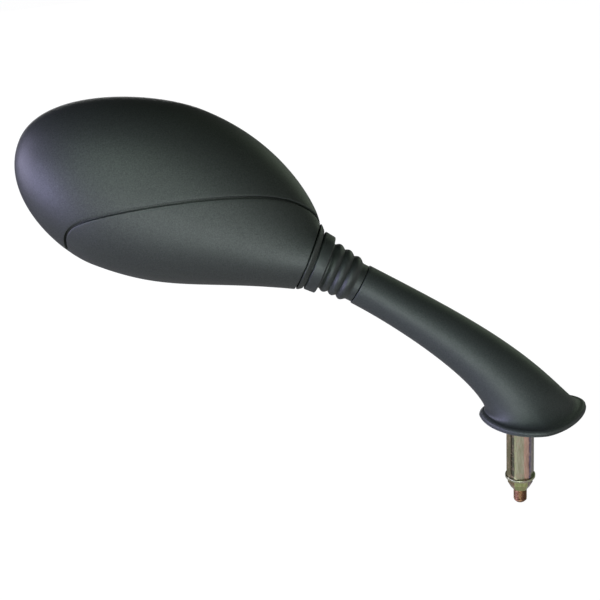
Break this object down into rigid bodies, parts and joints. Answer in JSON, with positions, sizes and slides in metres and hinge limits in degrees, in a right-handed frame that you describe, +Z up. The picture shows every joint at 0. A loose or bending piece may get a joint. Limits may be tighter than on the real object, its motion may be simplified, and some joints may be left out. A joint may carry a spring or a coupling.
{
  "type": "motorcycle mirror",
  "caption": "Handlebar mirror with an egg-shaped housing, a ball joint in a rubber bellows, a tapered arm and a threaded stud.",
  "frame": {"origin": "on the stud's axis, in the plane of the nut's lower face, where the stud's free end begins", "axes": "+Z up along the stud's axis; the housing reaches towards -X; the glass looks towards +Y"},
  "size_m": [0.3266, 0.1142, 0.2457],
  "materials": {
    "arm_plastic": "satin, fine moulded grain",
    "shell_plastic": "satin, fine moulded grain",
    "cover_plastic": "satin, fine moulded grain",
    "collar_plastic": "satin",
    "bezel_plastic": "satin",
    "boot_rubber": "matt",
    "mirror_glass": "silvered behind clear glass",
    "pad_rubber": "foamed",
    "inner_plastic": "matt",
    "seat_plastic": "natural, satin",
    "bright_steel": "ground",
    "clamp_steel": "zinc plated",
    "screw_steel": "zinc plated",
    "zinc_sleeve": "yellow zinc plated, drawn bar",
    "zinc_washer": "yellow zinc plated, stamped",
    "zinc_nut": "yellow zinc plated",
    "copper_steel": "copper-coloured plating",
    "brass": "turned"
  },
  "bodies": {
    "arm": {"arm": "arm_plastic", "mounting_stud": "copper_steel", "stud_insert": "brass", "hex_sleeve": "zinc_sleeve", "stud_washer": "zinc_washer", "stud_nut": "zinc_nut", "ball_stud": "bright_steel"},
    "bellows": {"neck_boot": "boot_rubber"},
    "seat": {"ball_seat": "seat_plastic"},
    "head": {"neck_collar": "collar_plastic", "clamp_plate": "clamp_steel", "clamp_springs": "clamp_steel", "clamp_screws": "screw_steel", "inner_frame": "inner_plastic", "frame_screws": "screw_steel", "cover_screws": "screw_steel", "rear_shell": "shell_plastic", "lower_cover": "cover_plastic", "front_bezel": "bezel_plastic", "mirror_glass": "mirror_glass", "glass_pad": "pad_rubber", "glass_backing": "inner_plastic"}
  },
  "joints": [
    {"name": "twist", "type": "hinge", "parent": "arm", "child": "bellows", "pos_m": [-0.112, 0.0355, 0.1392], "axis": [0.8563, -0.1446, -0.4958], "range_deg": [-20, 20], "deforming": ["neck_boot"]},
    {"name": "pan", "type": "hinge", "parent": "bellows", "child": "seat", "pos_m": [-0.112, 0.0355, 0.1392], "axis": [0.4166, 0.3765, 0.8275], "range_deg": [-12, 12], "deforming": ["neck_boot"]},
    {"name": "tilt", "type": "hinge", "parent": "seat", "child": "head", "pos_m": [-0.112, 0.0355, 0.1392], "axis": [0.0674, -0.9205, 0.3849], "range_deg": [-12, 12], "deforming": ["neck_boot"]}
  ]
}
